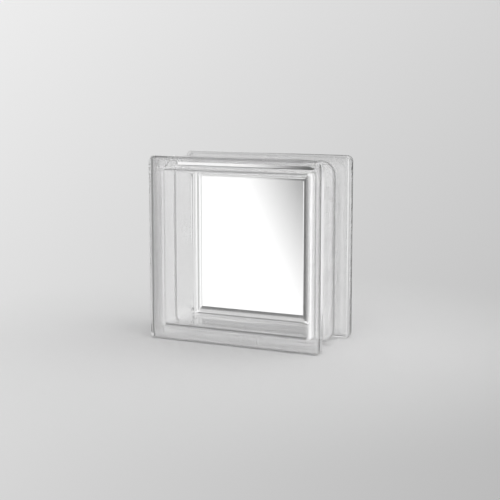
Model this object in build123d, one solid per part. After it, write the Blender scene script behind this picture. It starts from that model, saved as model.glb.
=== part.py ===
from build123d import *
import os
from math import radians, tan

# Hollow glass block, standing upright on its lower edge.
# X runs across the block, Y from the front face to the back face and Z up.
# The origin is the middle of the block's underside.
# All sizes are in millimetres.

# Outline over the flanges
block_width = 190.0
block_height = 190.0
block_depth = 95.0

# The flange that frames each face, with a sloping back and mitred corners
flange_thickness = 10.3
flange_corner_radius = 6.0
flange_front_radius = 4.2
flange_back_radius = 3.0
flange_slope_deg = 38.0

# The mortar channel between the two flanges, and the side walls that form its floor
channel_depth = 6.2
channel_root_radius = 4.5
wall_corner_radius = 12.0
wall_draft_deg = 3.2

# The thickened rim where one half is fused to the other
rim_width = 2.8
rim_rise = 1.6
rim_bevel = 1.0

# The hollow inside
face_thickness = 8.0
wall_thickness = 5.2
hollow_corner_radius = 5.5
hollow_draft_deg = 1.7
hollow_root_radius = 8.4

half_depth = block_depth / 2
slope = tan(radians(flange_slope_deg))
channel_start = flange_thickness + channel_depth * slope
fit_tolerance = 0.01


def section_plane(distance):
    """The plane across the block at a distance behind the front face, looking back."""
    origin = (0, distance - half_depth, block_height / 2)
    return Plane(origin=origin, x_dir=(1, 0, 0), z_dir=(0, 1, 0))


def outline(distance, inset, corner_radius):
    """A rounded rectangle that lies inset from the block's edges."""
    width = block_width - 2 * inset
    height = block_height - 2 * inset
    return section_plane(distance) * RectangleRounded(width, height, corner_radius)


def square_outline(distance, inset):
    """A square-cornered outline that lies inset from the block's edges."""
    width = block_width - 2 * inset
    height = block_height - 2 * inset
    return section_plane(distance) * Rectangle(width, height)


def inset_of(edge):
    """The least distance from an edge to the block's four edge lands."""
    box = edge.bounding_box()
    middle = block_height / 2
    across = max(abs(box.min.X), abs(box.max.X))
    upward = max(abs(box.min.Z - middle), abs(box.max.Z - middle))
    return min(block_width / 2 - across, block_height / 2 - upward)


def edges_between(solid, near, far, inset=0.0, reach=None):
    """Edges that lie between two distances behind the face and in a band of insets."""
    reach = inset if reach is None else reach
    found = ShapeList()
    for edge in solid.edges():
        box = edge.bounding_box()
        starts = box.min.Y + half_depth
        ends = box.max.Y + half_depth
        if starts < near - fit_tolerance or ends > far + fit_tolerance:
            continue
        if inset - fit_tolerance < inset_of(edge) < reach + fit_tolerance:
            found.append(edge)
    return found


def drafted(solid, distance, angle):
    """The solid with its sides opened out towards the seam, from the plane at a distance."""
    sides = solid.faces().filter_by(lambda face: abs(face.normal_at().Y) < 0.5)
    return draft(sides, section_plane(distance), -angle)


def face_flange():
    """The face of one half with its flange, whose back slopes in to the walls."""
    buried = channel_depth + wall_corner_radius / 2
    end = flange_thickness + buried * slope
    start = flange_thickness - flange_corner_radius * slope
    plate = extrude(outline(0, 0, flange_corner_radius), end)
    cap = extrude(square_outline(0, -flange_corner_radius), start)
    sloped = loft([square_outline(start, -flange_corner_radius), square_outline(end, buried)], ruled=True)
    flange = fillet(edges_between(plate & (cap + sloped), 0, 0), flange_front_radius)
    shoulder = edges_between(flange, flange_thickness, channel_start)
    return fillet(shoulder, flange_back_radius)


def side_walls():
    """The body of one half behind its face, which flares a little towards the seam."""
    foot = extrude(outline(face_thickness, channel_depth, wall_corner_radius), channel_start - face_thickness)
    straight = extrude(outline(channel_start, channel_depth, wall_corner_radius), half_depth - channel_start)
    return foot + drafted(straight, channel_start, wall_draft_deg)


def seam_rim():
    """The rim that stands proud of the walls at the seam."""
    growth = (half_depth - channel_start) * tan(radians(wall_draft_deg)) + rim_rise
    start = half_depth - rim_width
    foot = outline(start, channel_depth - growth, wall_corner_radius + growth)
    rim = extrude(foot, rim_width)
    return chamfer(edges_between(rim, start, start, channel_depth - growth), rim_bevel)


def hollow():
    """The space that the plunger leaves, wider at the seam than at the face."""
    inset = channel_depth + wall_thickness
    straight = extrude(outline(face_thickness, inset, hollow_corner_radius), half_depth - face_thickness)
    space = drafted(straight, face_thickness, hollow_draft_deg)
    return fillet(space.edges().group_by(Axis.Y)[0], hollow_root_radius)


def pressed_half():
    """One pressed half: face, flange, walls, rim and the hollow behind the face."""
    body = face_flange() + side_walls()
    deepest = channel_start + wall_corner_radius * slope / 2
    channel_root = edges_between(body, channel_start - 0.5, deepest, channel_depth - 0.5, channel_depth + 4)
    return fillet(channel_root, channel_root_radius) + seam_rim() - hollow()


front_half = pressed_half()
back_half = mirror(front_half, about=Plane.XZ)

os.makedirs("parts", exist_ok=True)
export_step(front_half, "parts/front_half.step")
export_step(back_half, "parts/back_half.step")
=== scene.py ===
from math import cos, degrees, pi, radians, sin, sqrt, tan

import bpy
import numpy as np
from mathutils import Matrix, Vector


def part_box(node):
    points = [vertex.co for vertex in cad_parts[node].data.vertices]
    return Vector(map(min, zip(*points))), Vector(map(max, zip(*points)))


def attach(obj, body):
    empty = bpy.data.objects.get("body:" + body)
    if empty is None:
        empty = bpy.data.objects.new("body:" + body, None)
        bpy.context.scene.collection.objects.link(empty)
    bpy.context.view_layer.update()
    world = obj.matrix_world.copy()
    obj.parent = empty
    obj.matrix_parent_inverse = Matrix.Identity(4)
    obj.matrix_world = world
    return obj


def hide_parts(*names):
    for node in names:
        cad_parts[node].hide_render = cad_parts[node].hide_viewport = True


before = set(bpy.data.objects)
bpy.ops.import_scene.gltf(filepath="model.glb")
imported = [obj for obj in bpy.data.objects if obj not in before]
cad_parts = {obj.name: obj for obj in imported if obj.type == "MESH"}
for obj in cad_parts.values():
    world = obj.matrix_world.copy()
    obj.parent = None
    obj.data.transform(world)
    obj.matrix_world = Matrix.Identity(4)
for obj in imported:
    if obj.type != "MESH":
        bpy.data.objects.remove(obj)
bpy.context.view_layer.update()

front_low, front_high = (np.array(corner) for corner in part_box("front_half"))
back_low, back_high = (np.array(corner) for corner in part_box("back_half"))

# The block
# One hollow block of clear pressed glass. Its two tray-shaped halves are pressed in iron moulds and
# fused rim to rim while hot, so the finished block is one piece of glass round a sealed air space.
# The panes and flange edges are clear, with dark reflections painted on the flange rounds.
# The mortar channel and the seam rim in it are drawn matt.
mm = 0.001
half_width = (front_high[0] - front_low[0]) / 2 / mm
half_height = (front_high[2] - front_low[2]) / 2 / mm
half_depth = (back_high[1] - front_low[1]) / 2 / mm

flange_thickness = 10.3
flange_corner = 6.0
flange_front_round = 4.2
flange_back_round = 3.0
flange_slope_deg = 38.0
channel_depth = 6.2
channel_root = 4.5
wall_corner = 12.0
wall_draft_deg = 3.2
rim_width = 2.8
rim_rise = 1.6
rim_round_share = 0.72
face_thickness = 8.0
hollow_inset = 11.4
hollow_corner = 5.5
hollow_draft_deg = 1.7
hollow_root = 8.4
seam_ease = 4.5
matt_inset = 2.4

flange_slope = tan(radians(flange_slope_deg))
wall_draft = tan(radians(wall_draft_deg))
hollow_draft = tan(radians(hollow_draft_deg))
wall_centre = half_width - channel_depth - wall_corner
channel_start = flange_thickness + channel_depth * flange_slope
corner_angles = np.radians([0, 7, 14, 20, 25.5, 30, 33.8, 36.5, 39, 41.5, 43.5,
                            45, 46.5, 48.5, 51, 53.5, 56.2, 60, 64.5, 70, 76, 83, 90])
side_steps = 40


def reach_round(angle, inset, radius):
    """How far a ray from the wall's corner centre goes to a rounded outline at this inset."""
    side = half_width - inset - wall_centre
    straight = side / max(cos(angle), sin(angle))
    middle = half_width - inset - radius - wall_centre
    along = middle * (cos(angle) + sin(angle))
    inside = along ** 2 - (2 * middle ** 2 - radius ** 2)
    if inside <= 0 or middle < 0:
        return straight
    reach = along + sqrt(inside)
    round_part = reach * cos(angle) > middle and reach * sin(angle) > middle
    return reach if round_part else straight


def arc_points(radius, start, end, steps):
    """Points on an arc round the origin, from one angle to the other."""
    return [(radius * cos(a), radius * sin(a)) for a in np.linspace(start, end, steps + 1)]


def outer_profile(angle):
    """The outer skin of one half on the ray at this angle: reach, inset, depth, matt or not."""
    square = lambda inset: (half_width - inset - wall_centre) / max(cos(angle), sin(angle))
    points = []
    for inset in np.linspace(half_width - 2.0, 22.0, 12):
        points.append((None, inset, 0.0, False))
    for inset in (17.5, 12.0, 8.0, 5.5, flange_front_round + 0.1):
        radius = max(flange_corner - inset, 0.0)
        points.append((reach_round(angle, inset, radius), inset, 0.0, False))
    for x, y in arc_points(flange_front_round, -pi / 2, -pi, 10):
        inset = flange_front_round + x
        radius = max(flange_corner - inset, 0.0)
        points.append((reach_round(angle, inset, radius), inset, flange_front_round + y, False))
    edge = reach_round(angle, 0.0, flange_corner)
    cut = half_width - wall_centre - edge * max(cos(angle), sin(angle))
    turn = (pi / 2 - radians(flange_slope_deg)) / 2
    run = flange_back_round * tan(turn)
    shoulder = flange_thickness + cut * flange_slope
    for share in (0.5, 1.0):
        depth = flange_front_round + (shoulder - run - flange_front_round) * share
        points.append((edge, cut, depth, False))
    for step in range(1, 9):
        a = pi - 2 * turn * step / 8
        inset = cut + flange_back_round * (1 + cos(a))
        depth = shoulder - run + flange_back_round * sin(a)
        points.append((square(inset), inset, depth, False))
    wall_cut = half_width - wall_centre - wall_corner * max(cos(angle), sin(angle))
    junction = flange_thickness + wall_cut * flange_slope
    root_run = channel_root * tan(radians(90 - flange_slope_deg - wall_draft_deg) / 2)
    foot = wall_cut - root_run * cos(radians(flange_slope_deg))
    last_inset = points[-1][1]
    matt_start = max(matt_inset, last_inset + 0.15)
    for share in (0.0, 0.08, 0.5):
        inset = matt_start + (foot - matt_start) * share
        depth = flange_thickness + inset * flange_slope
        points.append((square(inset), inset, depth, True))
    start = np.array([square(foot), flange_thickness + foot * flange_slope])
    middle = np.array([wall_corner, junction])
    flare = lambda depth: wall_corner + (depth - channel_start) * wall_draft
    end = np.array([flare(junction + root_run), junction + root_run])
    for step in range(0, 11):
        t = step / 10
        reach, depth = start * (1 - t) ** 2 + middle * 2 * t * (1 - t) + end * t ** 2
        points.append((reach, None, depth, True))
    rim_foot = half_depth - rim_width
    for share in np.linspace(0.1, 1.0, 10):
        depth = end[1] + (rim_foot - end[1]) * share
        points.append((flare(depth), None, depth, True))
    crest = flare(half_depth) + rim_rise
    foot_reach = flare(rim_foot)
    for step in range(1, 8):
        a = pi / 2 * step / 7
        reach = foot_reach + (crest - foot_reach) * sin(a)
        depth = rim_foot + rim_width * rim_round_share * (1 - cos(a))
        points.append((reach, None, depth, True))
    points.append((crest, None, half_depth, True))
    return points


def inner_profile():
    """The hollow's skin in one half: inset and depth, from the middle of the pane to the seam."""
    floor_inset = hollow_inset + hollow_root
    pane_insets = np.linspace(half_width - 2.0, floor_inset + 2.5, 14)
    points = [(inset, face_thickness) for inset in pane_insets]
    points.append((floor_inset + 0.1, face_thickness))
    turn = pi / 2 - radians(hollow_draft_deg)
    for step in range(0, 15):
        a = pi / 2 + turn * step / 14
        points.append((floor_inset + hollow_root * cos(a),
                       face_thickness + hollow_root * (1 - sin(a))))
    start_inset, start_depth = points[-1]
    end_inset = start_inset - (half_depth - start_depth) * hollow_draft
    ease_start = half_depth - seam_ease
    wall_depths = list(np.linspace(start_depth, ease_start, 14)[1:])
    seam_depths = list(np.linspace(ease_start, half_depth, 8)[1:])
    run = half_depth - start_depth
    for depth in wall_depths + seam_depths:
        straight = start_inset + (end_inset - start_inset) * (depth - start_depth) / run
        near = max(0.0, (depth - ease_start) / seam_ease)
        points.append((straight + hollow_draft * seam_ease / 2 * near ** 2, depth))
    return points


def loop_points(corner_points):
    """A loop round the block from the points of its upper right corner, mirrored to the others."""
    loop = []
    for quarter in range(4):
        order = corner_points if quarter in (0, 2) else corner_points[::-1]
        sx = 1 if quarter in (0, 3) else -1
        sz = 1 if quarter in (0, 1) else -1
        here = [(sx * x, y, sz * z) for x, y, z in order]
        loop.append(here)
    full = []
    for quarter in range(4):
        here, after = loop[quarter], loop[(quarter + 1) % 4]
        full += here
        a, b = np.array(here[-1]), np.array(after[0])
        full += [tuple(a + (b - a) * step / side_steps) for step in range(1, side_steps)]
    return full


def outer_loops():
    """The loops of one half's outer skin, from mid-pane to the seam, and which are matt."""
    profiles = [outer_profile(angle) for angle in corner_angles]
    loops, matt = [], []
    for row in range(len(profiles[0])):
        corner = []
        for angle, profile in zip(corner_angles, profiles):
            reach, inset, depth, is_matt = profile[row]
            if reach is None:
                size = half_width - inset
                ratio = size / half_width
                reach = reach_round(angle, 0.0, 0.0)
                x, z = (wall_centre + np.array([cos(angle), sin(angle)]) * reach) * ratio
            else:
                x, z = wall_centre + reach * cos(angle), wall_centre + reach * sin(angle)
            corner.append((x, depth, z))
        loops.append(loop_points(corner))
        matt.append(profiles[0][row][3])
    return loops, matt


def inner_loops():
    """The loops of the hollow in one half, from the middle of the pane to the seam."""
    loops = []
    base_centre = half_width - hollow_inset - hollow_corner
    for inset, depth in inner_profile():
        radius = half_width - inset - base_centre
        if inset > 40:
            radius = 3.0 * (half_width - inset) / half_width
        radius = max(radius, 0.8)
        centre = half_width - inset - radius
        corner = [(centre + radius * cos(a), depth, centre + radius * sin(a))
                  for a in corner_angles]
        loops.append(loop_points(corner))
    return loops


def skin(loops, flip, matt=None):
    """A closed skin from the loops of one half and their mirror image."""
    count = len(loops[0])
    rings = [[(x, d - half_depth, z) for x, d, z in loop] for loop in loops]
    rings += [[(x, half_depth - d, z) for x, d, z in loop] for loop in loops[-2::-1]]
    matt_rings = matt or [False] * len(loops)
    matt_rings = matt_rings + matt_rings[-2::-1]
    vertices = [(x * mm, y * mm, (z + half_height) * mm) for ring in rings for x, y, z in ring]
    faces, slots = [], []
    for row in range(len(rings) - 1):
        slot = 1 if matt_rings[row] and matt_rings[row + 1] else 0
        for i in range(count):
            j = (i + 1) % count
            a, b = row * count + i, row * count + j
            quad = (a, b, b + count, a + count)
            faces.append(quad[::-1] if flip else quad)
            slots.append(slot)
    first_cap = tuple(range(count))
    last_cap = tuple(range((len(rings) - 1) * count, len(rings) * count))
    faces += [first_cap if flip else first_cap[::-1], last_cap[::-1] if flip else last_cap]
    slots += [0, 0]
    return vertices, faces, slots


loops, matt_rows = outer_loops()
outer_vertices, outer_faces, outer_slots = skin(loops, True, matt_rows)
inner_vertices, inner_faces, inner_slots = skin(inner_loops(), False)
shift = len(outer_vertices)
block_mesh = bpy.data.meshes.new("glass_block")
block_mesh.from_pydata(outer_vertices + inner_vertices, [],
                       outer_faces + [tuple(i + shift for i in face) for face in inner_faces])
block_mesh.polygons.foreach_set("material_index", outer_slots + inner_slots)
block_mesh.shade_smooth()
block = bpy.data.objects.new("glass_block", block_mesh)
bpy.context.scene.collection.objects.link(block)


def wired(tree, kind, wires=(), **settings):
    """Adds a node, sets its settings, and sets or links its sockets."""
    made = tree.nodes.new(kind)
    for name, value in settings.items():
        setattr(made, name, value)
    for socket, value in dict(wires).items():
        if isinstance(value, bpy.types.NodeSocket):
            tree.links.new(value, made.inputs[socket])
        else:
            made.inputs[socket].default_value = value
    return made


def maths(tree, operation, *values):
    """The output of a math node on these values."""
    return wired(tree, "ShaderNodeMath", dict(enumerate(values)), operation=operation).outputs[0]


def fade(tree, value, start, end, low=0.0, high=1.0, kind="SMOOTHSTEP"):
    """Goes from low to high while the value goes from start to end."""
    wires = {"Value": value, "From Min": start, "From Max": end, "To Min": low, "To Max": high}
    return wired(tree, "ShaderNodeMapRange", wires, interpolation_type=kind).outputs[0]


def pressed_marks_and_painted_edges():
    """Slow waves, lines round the walls, and masks for the painted dark edges and the seam.

    The edge mask paints in dark reflections that show from the front right. It is stronger on the
    front half, and on the back half it adds a ragged painted strip down the right edge only.
    """
    group = bpy.data.node_groups.new("pressed_marks_and_painted_edges", "ShaderNodeTree")
    for name, value in (("Wave size", 30.0), ("Wave height", 0.5), ("Line height", 0.0)):
        socket = group.interface.new_socket(name, in_out="INPUT", socket_type="NodeSocketFloat")
        socket.default_value = value
    for name in ("Height", "Lines", "Painted dark edge", "Seam"):
        group.interface.new_socket(name, in_out="OUTPUT", socket_type="NodeSocketFloat")
    asked = group.nodes.new("NodeGroupInput").outputs
    place = wired(group, "ShaderNodeTexCoord").outputs["Object"]
    x, y, z = wired(group, "ShaderNodeSeparateXYZ", {0: place}).outputs
    across = maths(group, "ABSOLUTE", x)
    upward = maths(group, "ABSOLUTE", maths(group, "SUBTRACT", z, half_height * mm))
    inset = maths(group, "SUBTRACT", half_width * mm, maths(group, "MAXIMUM", across, upward))
    behind = maths(group, "SUBTRACT", half_depth * mm, maths(group, "ABSOLUTE", y))

    waves = wired(group, "ShaderNodeTexNoise", {"Vector": place, "Scale": asked["Wave size"],
                                                "Detail": 2.0, "Roughness": 0.35}).outputs[0]
    along = wired(group, "ShaderNodeVectorMath", {0: place, 1: (6.0, 420.0, 6.0)},
                  operation="MULTIPLY").outputs[0]
    lines = wired(group, "ShaderNodeTexNoise", {"Vector": along, "Scale": 1.0, "Detail": 3.0,
                                                "Roughness": 0.6}).outputs[0]
    height = maths(group, "ADD", maths(group, "MULTIPLY", waves, asked["Wave height"]),
                   maths(group, "MULTIPLY", lines, asked["Line height"]))

    ragged = wired(group, "ShaderNodeTexNoise", {"Vector": place, "Scale": 260.0,
                                                 "Detail": 3.0}).outputs[0]
    # Painted dark reflections on the outer rounds, stronger on the front half than on the back
    painted_dark_rounds = maths(group, "MULTIPLY", fade(group, inset, 0.8 * mm, 3.8 * mm, 1.0, 0.0),
                        fade(group, behind, 2.4 * mm, 3.8 * mm, 1.0, 0.0))
    painted_dark_rounds = maths(group, "MULTIPLY", painted_dark_rounds,
                        fade(group, inset, 0.2 * mm, 1.6 * mm, 1.0, 0.65))
    painted_dark_rounds = maths(group, "MULTIPLY", painted_dark_rounds, fade(group, y, 0.0, 0.01, 0.92, 0.35))
    # A ragged painted dark strip down the right edge of the back half, standing in for reflections
    side_inset = maths(group, "SUBTRACT", half_width * mm, x)
    painted_dark_strip = maths(group, "MULTIPLY", fade(group, side_inset, 1.4 * mm, 3.0 * mm, 1.0, 0.0),
                fade(group, behind, 4.0 * mm, 9.0 * mm, 1.0, 0.45))
    painted_dark_strip = maths(group, "MULTIPLY", painted_dark_strip, fade(group, ragged, 0.3, 0.55, 0.75, 1.0))
    painted_dark_strip = maths(group, "MULTIPLY", painted_dark_strip, fade(group, y, 0.0, 0.01))
    edge = maths(group, "MAXIMUM", painted_dark_rounds, painted_dark_strip)
    rim_start = half_depth - rim_width
    seam = fade(group, behind, (rim_start + 0.1) * mm, (rim_start + 0.9) * mm)
    wired(group, "NodeGroupOutput", {"Height": height, "Lines": lines, "Painted dark edge": edge, "Seam": seam})
    return group


marks_and_painted_edges = pressed_marks_and_painted_edges()


def glass_with_marks_and_painted_edges(name, wave_size, wave_height, line_height):
    """A glass material holding the mould's marks and the painted dark edge mask, ready for its own
    colours.
    """
    made = bpy.data.materials.new(name)
    made.use_nodes = True
    tree = made.node_tree
    placed = wired(tree, "ShaderNodeGroup", node_tree=marks_and_painted_edges)
    for socket, value in (("Wave size", wave_size), ("Wave height", wave_height),
                          ("Line height", line_height)):
        placed.inputs[socket].default_value = value
    shader = tree.nodes["Principled BSDF"]
    bump = wired(tree, "ShaderNodeBump",
                 {"Height": placed.outputs["Height"], "Distance": mm, "Strength": 1.0})
    tree.links.new(bump.outputs["Normal"], shader.inputs["Normal"])
    block_mesh.materials.append(made)
    return tree, shader, placed.outputs


def grey(level):
    return (level, level, level, 1)


glass_ior = 1.52
glass_level = 0.99
# Near black, for the dark reflections painted along the clear glass's edges
painted_edge_level = 0.01
seam_level = 0.45
wave_size = 16.0
wave_height = 0.035

# Clear glass: a little wavy, with dark reflections painted along its edges as the camera sees them
tree, shader, placed_marks_and_painted_edges = glass_with_marks_and_painted_edges("clear_glass", wave_size, wave_height, 0.0)
tint = wired(tree, "ShaderNodeMix", {0: placed_marks_and_painted_edges["Painted dark edge"], 6: grey(glass_level), 7: grey(painted_edge_level)},
             data_type="RGBA").outputs[2]
tree.links.new(tint, shader.inputs["Base Color"])
shader.inputs["Roughness"].default_value = 0.0
shader.inputs["IOR"].default_value = glass_ior
shader.inputs["Transmission Weight"].default_value = 1.0

# Matt glass of the mortar channel: even and white, rougher in faint lines, greyer at the fused seam
tree, shader, placed_marks_and_painted_edges = glass_with_marks_and_painted_edges("matt_channel", wave_size, wave_height, 0.006)
tint = wired(tree, "ShaderNodeMix", {0: placed_marks_and_painted_edges["Seam"], 6: grey(glass_level), 7: grey(seam_level)},
             data_type="RGBA").outputs[2]
tree.links.new(tint, shader.inputs["Base Color"])
tree.links.new(fade(tree, placed_marks_and_painted_edges["Lines"], 0.3, 0.7, 0.92, 0.86), shader.inputs["Roughness"])
shader.inputs["IOR"].default_value = glass_ior
shader.inputs["Transmission Weight"].default_value = 0.9

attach(block, "root")
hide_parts("front_half", "back_half")

# The studio
# A pale sweep under the block, inside a white tent that lights the glass from every side. A bright
# panel low behind the block shows through its panes, and dark flags beside it draw the edges. The
# panels' levels are fitted to one view of the block. They aren't measured from a real studio.
scene = bpy.context.scene
view_azimuth = 24.9
sweep_level = 213.0
sweep_side_fall = 19.0
sweep_down_fall = 20.0


def shown_level(tree, level):
    """The light that a 0 to 255 picture level stands for."""
    share = maths(tree, "DIVIDE", level, 255.0)
    share = maths(tree, "DIVIDE", maths(tree, "ADD", share, 0.055), 1.055)
    return maths(tree, "POWER", share, 2.4)


studio = bpy.data.worlds.new("studio")
scene.world = studio
studio.use_nodes = True
tent = studio.node_tree
tent.nodes.clear()
way = wired(tent, "ShaderNodeTexCoord").outputs["Generated"]
east, north, rise = wired(tent, "ShaderNodeSeparateXYZ", {0: way}).outputs
turn = maths(tent, "ARCTAN2", maths(tent, "MULTIPLY", east, -1.0), north)
azimuth = maths(tent, "MULTIPLY", turn, degrees(1))
height = maths(tent, "MULTIPLY", maths(tent, "ARCSINE", rise), degrees(1))


def panel(middle, width, low, high, side_edge=2.0, end_edge=3.0):
    """Where a panel hangs, in degrees: middle and width round the block, low and high edges."""
    apart = maths(tent, "WRAP", maths(tent, "SUBTRACT", azimuth, float(middle)), 180.0, -180.0)
    apart = maths(tent, "ABSOLUTE", apart)
    across = fade(tent, apart, (width - side_edge) / 2, (width + side_edge) / 2, 1.0, 0.0)
    bottom = fade(tent, height, low - end_edge / 2, low + end_edge / 2)
    top = fade(tent, height, high - end_edge / 2, high + end_edge / 2, 1.0, 0.0)
    return maths(tent, "MULTIPLY", across, maths(tent, "MULTIPLY", bottom, top))


def hung(light, where, level):
    """The tent's light with a panel of this level hung in it."""
    return wired(tent, "ShaderNodeMix", {0: where, 2: light, 3: level},
                 data_type="FLOAT").outputs[0]


light = maths(tent, "ADD", fade(tent, height, -52.0, -38.0, 0.4, 1.0),
              fade(tent, height, 30.0, 55.0, 0.0, 0.1))
light = hung(light, panel(242, 146, -50, 95, 16, 10), 1.2)
light = hung(light, panel(115, 90, 40, 95, 20, 10), 0.25)
light = hung(light, panel(25, 90, 40, 95, 20, 10), 0.5)
light = hung(light, panel(70, 180, -95, -44, 20, 4), 0.2)
light = hung(light, panel(94, 62, -32, 38, 6, 12), 0.65)
light = hung(light, panel(-33, 18, -30, 30, 6), 0.65)
light = hung(light, panel(-18, 10, -30, 30, 3), 0.12)
light = hung(light, panel(-4, 17, -30, 30, 4), 0.4)
light = hung(light, panel(7, 7, -30, 30, 3), 0.22)
light = hung(light, panel(14.2, 9, -30, 30, 1.5), 0.05)
light = hung(light, panel(49, 10, -30, 20, 3), 0.5)

# The panel behind: grey above and below it, and fading towards its upper right
light = hung(light, panel(26, 21, -4.8, 19, 3.0, 1.0),
             fade(tent, azimuth, 21.0, 28.0, 0.02, 0.25))
light = hung(light, panel(26, 21, -4.8, 6, 3.0, 1.0),
             fade(tent, azimuth, 21.5, 25.5, 0.05, 0.95))
light = hung(light, panel(26, 21, -44, -12.4, 3.0, 1.2),
             fade(tent, height, -30.0, -20.0, 0.6, 0.12))
light = hung(light, panel(32.5, 3, -30, 20, 2.0), 0.6)
lean = maths(tent, "ADD", azimuth, maths(tent, "MULTIPLY", height, -0.435))
behind = fade(tent, lean, 23.6, 27.8, 0.08, 1.17, "LINEAR")
light = hung(light, panel(25.7, 9.2, -12.5, -4.8, 1.0, 0.6), behind)

# The sweep as the camera sees it, paler to the upper left
aside = maths(tent, "SINE", maths(tent, "SUBTRACT", turn, radians(view_azimuth)))
level = maths(tent, "ADD",
              fade(tent, aside, -0.34, 0.34, -sweep_side_fall, sweep_side_fall, "LINEAR"),
              fade(tent, height, -28.0, 12.0, -sweep_down_fall, sweep_down_fall, "LINEAR"))
sweep = shown_level(tent, maths(tent, "ADD", level, sweep_level))
seen = wired(tent, "ShaderNodeLightPath").outputs["Is Camera Ray"]
glow = wired(tent, "ShaderNodeBackground", {"Color": hung(light, seen, sweep)})
wired(tent, "ShaderNodeOutputWorld", {0: glow.outputs[0]})

# The floor that the camera sees round the block's foot, which fades out into the sweep
floor_reach = 2
floor_mesh = bpy.data.meshes.new("floor")
floor_mesh.from_pydata([(-floor_reach, -floor_reach, 0), (floor_reach, -floor_reach, 0),
                        (floor_reach, floor_reach, 0), (-floor_reach, floor_reach, 0)],
                       [], [(0, 1, 2, 3)])
floor = bpy.data.objects.new("floor", floor_mesh)
scene.collection.objects.link(floor)
pale = bpy.data.materials.new("pale_floor")
pale.use_nodes = True
floor_tree = pale.node_tree
paper = floor_tree.nodes["Principled BSDF"]
paper.inputs["Base Color"].default_value = grey(0.8)
paper.inputs["Roughness"].default_value = 0.9
paper.inputs["Specular IOR Level"].default_value = 0.0
spot = wired(floor_tree, "ShaderNodeTexCoord").outputs["Object"]
away = wired(floor_tree, "ShaderNodeVectorMath", {0: spot}, operation="LENGTH").outputs["Value"]
seen = wired(floor_tree, "ShaderNodeLightPath").outputs["Is Camera Ray"]
cover = maths(floor_tree, "MULTIPLY", seen, fade(floor_tree, away, 0.1, 0.42, 1.0, 0.0))
gone = wired(floor_tree, "ShaderNodeBsdfTransparent")
laid = wired(floor_tree, "ShaderNodeMixShader", {0: cover, 1: gone.outputs[0], 2: paper.outputs[0]})
floor_tree.links.new(laid.outputs[0], floor_tree.nodes["Material Output"].inputs[0])
floor_mesh.materials.append(pale)

# The camera
camera_yaw = radians(24.94)
camera_pitch = radians(7.00)
focal_pixels = 1119.0
image_side = 500
camera_side = 19.0
camera_distance = 1102.0
camera_height = 269.0
camera_data = bpy.data.cameras.new("camera")
camera_data.sensor_width = 36.0
camera_data.lens = focal_pixels / image_side * camera_data.sensor_width
camera_data.shift_y = -0.07
camera = bpy.data.objects.new("camera", camera_data)
right = Vector((cos(camera_yaw), sin(camera_yaw), 0))
ahead = Vector((-sin(camera_yaw), cos(camera_yaw), 0))
place = right * camera_side - ahead * camera_distance + Vector((0, -half_depth, camera_height))
look = ahead * cos(camera_pitch) - Vector((0, 0, sin(camera_pitch)))
up = right.cross(look)
turned = Matrix((right, up, -look)).transposed().to_4x4()
camera.matrix_world = Matrix.Translation(place * mm) @ turned
scene.collection.objects.link(camera)
scene.camera = camera

scene.cycles.max_bounces = 32
scene.cycles.transmission_bounces = 32
scene.cycles.glossy_bounces = 32
scene.cycles.diffuse_bounces = 16
# The albedo and normal passes put streaks on the matt glass, so they stay out of the denoising
scene.cycles.use_denoising = True
scene.cycles.denoising_input_passes = "RGB"
scene.view_settings.view_transform = "Standard"
